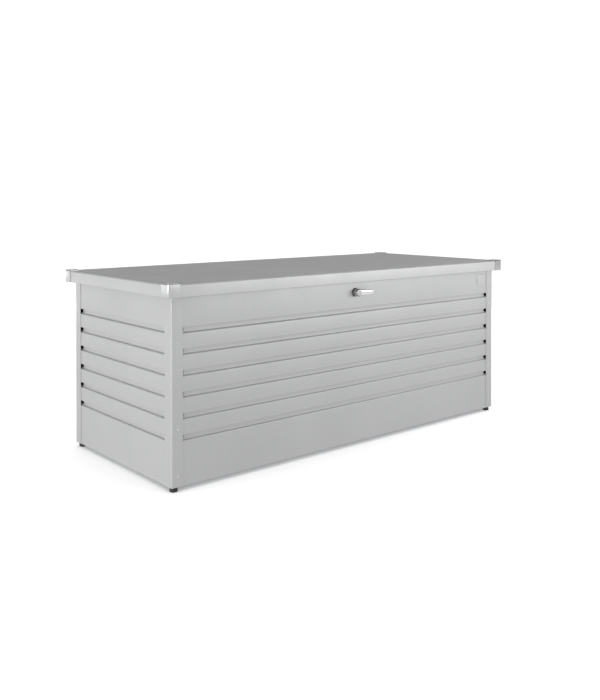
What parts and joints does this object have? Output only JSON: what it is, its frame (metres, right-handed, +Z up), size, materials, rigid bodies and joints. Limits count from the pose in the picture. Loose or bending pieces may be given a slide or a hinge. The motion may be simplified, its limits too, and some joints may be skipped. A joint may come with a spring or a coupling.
{
  "type": "deck storage box",
  "caption": "Long sheet-metal outdoor storage chest with grooved walls, a rear-hinged lid on gas springs, a quarter-turn lever lock and levelling feet.",
  "frame": {"origin": "on the ground under the middle of the box", "axes": "+X to the right of someone facing the front, -Y to the front, +Z up"},
  "size_m": [1.81, 0.79, 0.71],
  "materials": {
    "wall_paint": "satin",
    "rail_paint": "satin",
    "lid_paint": "satin",
    "cap_plastic": "satin",
    "galvanised": "satin",
    "bright_steel": "satin",
    "rod_steel": "polished",
    "spring_tube": "satin",
    "handle_chrome": "polished",
    "lock_core_metal": "satin",
    "rosette_dark": "satin",
    "badge_metal": "satin",
    "seal_rubber": "matte",
    "foot_plastic": "matte"
  },
  "bodies": {
    "root": {"front_wall": "wall_paint", "rear_wall": "wall_paint", "left_wall": "wall_paint", "right_wall": "wall_paint", "corner_post_front_left": "wall_paint", "corner_post_front_right": "wall_paint", "corner_post_rear_left": "wall_paint", "corner_post_rear_right": "wall_paint", "base_rail_front": "galvanised", "base_rail_rear": "galvanised", "base_rail_left": "galvanised", "base_rail_right": "galvanised", "floor_panel_left": "galvanised", "floor_panel_right": "galvanised", "floor_bearer_left": "galvanised", "floor_bearer_centre": "galvanised", "floor_bearer_right": "galvanised", "foot_socket_front_left": "galvanised", "foot_socket_front_right": "galvanised", "foot_socket_rear_left": "galvanised", "foot_socket_rear_right": "galvanised", "rim_seal": "seal_rubber", "hinge_leaf_body_left": "bright_steel", "hinge_leaf_body_centre": "bright_steel", "hinge_leaf_body_right": "bright_steel", "hinge_pin_left": "bright_steel", "hinge_pin_centre": "bright_steel", "hinge_pin_right": "bright_steel", "gas_spring_bracket_lower_left": "bright_steel", "gas_spring_bracket_lower_right": "bright_steel", "lock_rosette": "rosette_dark", "badge_plate": "badge_metal"},
    "lid": {"lid_panel": "lid_paint", "lid_rail_front": "rail_paint", "lid_rail_rear": "rail_paint", "lid_rail_left": "rail_paint", "lid_rail_right": "rail_paint", "lid_cap_front_left": "cap_plastic", "lid_cap_front_right": "cap_plastic", "lid_cap_rear_left": "cap_plastic", "lid_cap_rear_right": "cap_plastic", "lid_stiffener_left": "galvanised", "lid_stiffener_right": "galvanised", "hinge_leaf_lid_left": "bright_steel", "hinge_leaf_lid_centre": "bright_steel", "hinge_leaf_lid_right": "bright_steel", "lock_keeper": "bright_steel", "gas_spring_bracket_upper_left": "bright_steel", "gas_spring_bracket_upper_right": "bright_steel"},
    "handle": {"handle": "handle_chrome", "lock_cam": "bright_steel"},
    "lock_core": {"lock_core": "lock_core_metal"},
    "gas_spring_cylinder_left": {"gas_spring_cylinder_left": "spring_tube"},
    "gas_spring_rod_left": {"gas_spring_rod_left": "rod_steel"},
    "gas_spring_cylinder_right": {"gas_spring_cylinder_right": "spring_tube"},
    "gas_spring_rod_right": {"gas_spring_rod_right": "rod_steel"},
    "foot_front_left": {"foot_front_left": "foot_plastic"},
    "foot_front_right": {"foot_front_right": "foot_plastic"},
    "foot_rear_left": {"foot_rear_left": "foot_plastic"},
    "foot_rear_right": {"foot_rear_right": "foot_plastic"}
  },
  "joints": [
    {"name": "lid_hinge", "type": "hinge", "parent": "root", "child": "lid", "pos_m": [0, 0.381, 0.67], "axis": [-1, 0, 0], "range_deg": [0, 80]},
    {"name": "handle_turn", "type": "hinge", "parent": "root", "child": "handle", "pos_m": [-0.02, -0.38, 0.619], "axis": [0, 1, 0], "range_deg": [0, 90]},
    {"name": "lock_core_turn", "type": "hinge", "parent": "handle", "child": "lock_core", "pos_m": [-0.02, -0.385, 0.619], "axis": [0, 1, 0], "range_deg": [0, 90]},
    {"name": "gas_spring_tilt_left", "type": "hinge", "parent": "root", "child": "gas_spring_cylinder_left", "pos_m": [-0.845, 0.31815, 0.42803], "axis": [-1, 0, 0], "range_deg": [0, 40]},
    {"name": "gas_rod_tilt_left", "type": "hinge", "parent": "lid", "child": "gas_spring_rod_left", "pos_m": [-0.845, 0.13145, 0.655], "axis": [1, 0, 0], "range_deg": [0, 40]},
    {"name": "gas_spring_tilt_right", "type": "hinge", "parent": "root", "child": "gas_spring_cylinder_right", "pos_m": [0.845, 0.31815, 0.42803], "axis": [-1, 0, 0], "range_deg": [0, 40]},
    {"name": "gas_rod_tilt_right", "type": "hinge", "parent": "lid", "child": "gas_spring_rod_right", "pos_m": [0.845, 0.13145, 0.655], "axis": [1, 0, 0], "range_deg": [0, 40]},
    {"name": "foot_adjust_front_left", "type": "slide", "parent": "root", "child": "foot_front_left", "axis": [0, 0, -1], "range_m": [0, 0.012]},
    {"name": "foot_adjust_front_right", "type": "slide", "parent": "root", "child": "foot_front_right", "axis": [0, 0, -1], "range_m": [0, 0.012]},
    {"name": "foot_adjust_rear_left", "type": "slide", "parent": "root", "child": "foot_rear_left", "axis": [0, 0, -1], "range_m": [0, 0.012]},
    {"name": "foot_adjust_rear_right", "type": "slide", "parent": "root", "child": "foot_rear_right", "axis": [0, 0, -1], "range_m": [0, 0.012]}
  ],
  "couplings": [
    {"joint": "gas_spring_tilt_left", "follows": "lid_hinge", "ratio": 0.5},
    {"joint": "gas_rod_tilt_left", "follows": "lid_hinge", "ratio": 0.5},
    {"joint": "gas_spring_tilt_right", "follows": "lid_hinge", "ratio": 0.5},
    {"joint": "gas_rod_tilt_right", "follows": "lid_hinge", "ratio": 0.5}
  ]
}
